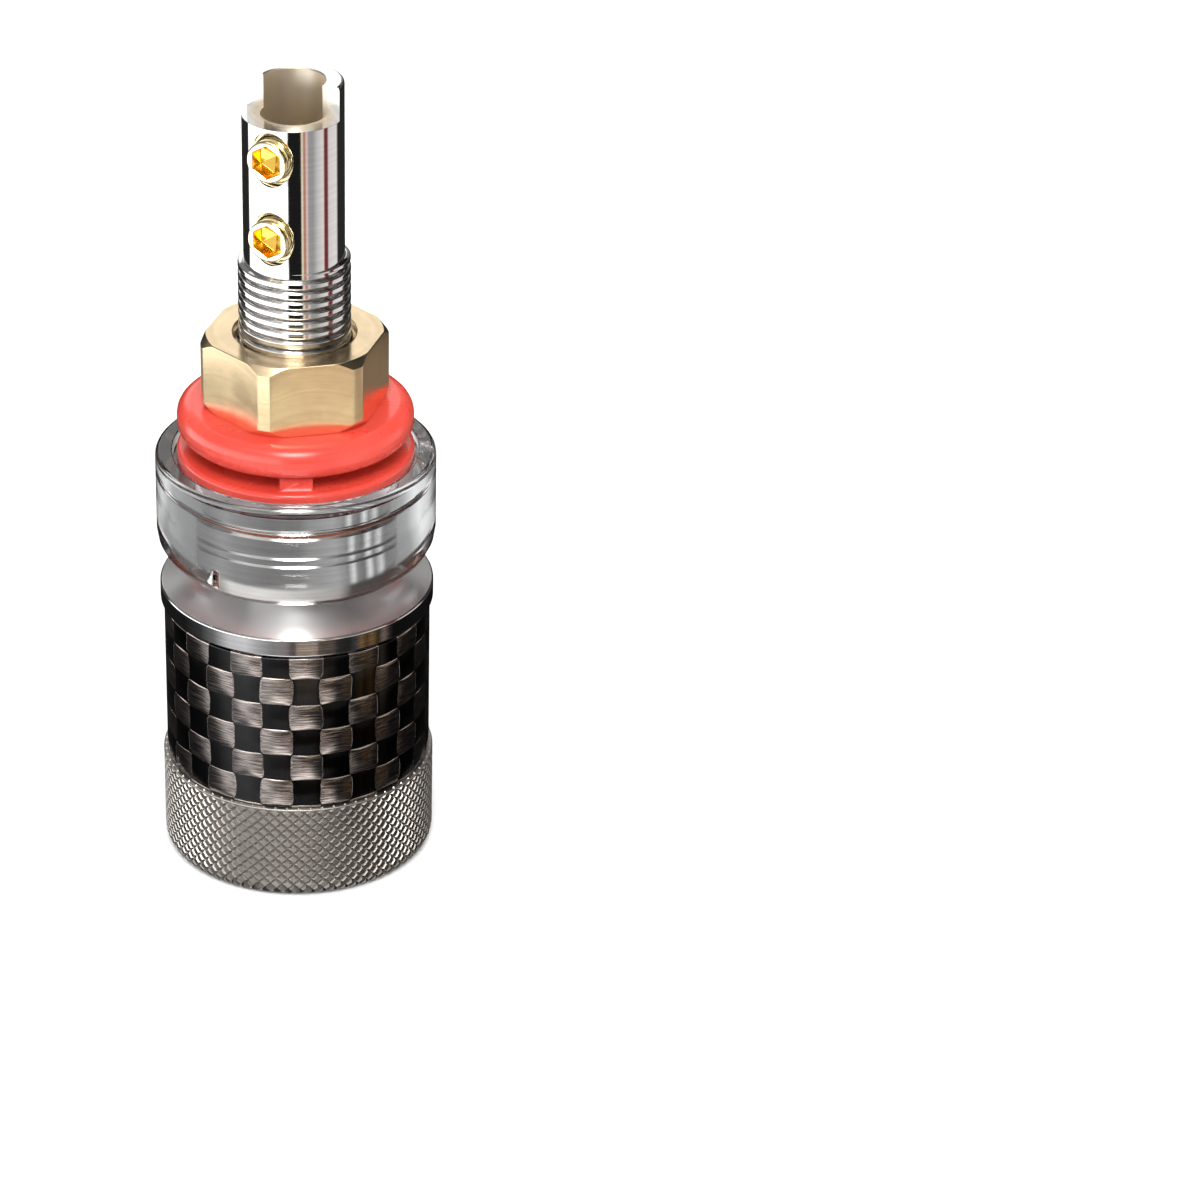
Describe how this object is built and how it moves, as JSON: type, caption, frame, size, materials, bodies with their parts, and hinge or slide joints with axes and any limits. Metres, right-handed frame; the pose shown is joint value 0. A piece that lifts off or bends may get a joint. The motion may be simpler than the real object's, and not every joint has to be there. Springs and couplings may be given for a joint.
{
  "type": "binding post",
  "caption": "Panel binding post: knurled clamp knob with carbon sleeve and banana socket, clear collar, red panel insulator and washer, hex nut and a rear wire tube with clamp screws.",
  "frame": {"origin": "centre of the knob's face, on the surface that the post stands on", "axes": "+Z along the post from the knob's face to the wire tube, -Y towards the side with the panel key; the clamp screws look 27 degrees from -Y towards -X"},
  "size_m": [0.02, 0.02, 0.0597],
  "materials": {
    "stud_plating": "bright rhodium-like plating, turned and lightly brushed",
    "clear_plastic": "clear, polished",
    "red_plastic": "glossy red",
    "nut_brass": "pale polished brass with fine upright brushing on the flats",
    "screw_gold": "gold plated",
    "ring_steel": "polished rim, turned face",
    "cap_steel": "diamond knurl, satin",
    "carbon_weave": "plain carbon weave under clear gloss",
    "insert_plastic": "matt black",
    "core_metal": "turned",
    "bush_brass": "turned",
    "ratchet_steel": "hardened steel",
    "spring_steel": "spring steel",
    "slip_plastic": "natural slip plastic"
  },
  "bodies": {
    "post": {"terminal_stud": "stud_plating", "stop_ring": "spring_steel", "clear_collar": "clear_plastic", "front_insulator": "red_plastic", "left_locating_pin": "spring_steel", "right_locating_pin": "spring_steel"},
    "clamp_ring": {"pressure_ring": "ring_steel"},
    "knob": {"knurled_cap": "cap_steel", "socket_insert": "insert_plastic", "carbon_sleeve": "carbon_weave", "knob_core": "core_metal", "ring_clip": "spring_steel", "thrust_washer": "slip_plastic", "threaded_bush": "bush_brass", "ratchet_ring": "ratchet_steel", "disc_spring": "spring_steel", "spring_snap_ring": "spring_steel"},
    "washer": {"rear_washer": "red_plastic"},
    "nut": {"panel_nut": "nut_brass"},
    "lower_screw": {"lower_clamp_screw": "screw_gold"},
    "upper_screw": {"upper_clamp_screw": "screw_gold"}
  },
  "joints": [
    {"name": "ring_slide", "type": "slide", "parent": "post", "child": "clamp_ring", "axis": [0, 0, 1], "range_m": [-0.006, 0.00175]},
    {"name": "knob_turn", "type": "hinge", "parent": "clamp_ring", "child": "knob", "pos_m": [0, 0, 0.01], "axis": [0, 0, 1], "range_deg": [-2880, 840]},
    {"name": "washer_slide", "type": "slide", "parent": "post", "child": "washer", "axis": [0, 0, 1], "range_m": [0, 0.005]},
    {"name": "nut_turn", "type": "hinge", "parent": "washer", "child": "nut", "pos_m": [0, 0, 0.038], "axis": [0, 0, 1], "range_deg": [0, 2400]},
    {"name": "lower_screw_slide", "type": "slide", "parent": "post", "child": "lower_screw", "axis": [0.454, 0.891, 0], "range_m": [0, 0.0012]},
    {"name": "upper_screw_slide", "type": "slide", "parent": "post", "child": "upper_screw", "axis": [0.454, 0.891, 0], "range_m": [0, 0.0012]}
  ],
  "couplings": [
    {"joint": "ring_slide", "follows": "knob_turn", "m_per_rad": 0.00011937},
    {"joint": "washer_slide", "follows": "nut_turn", "m_per_rad": 0.00011937}
  ]
}
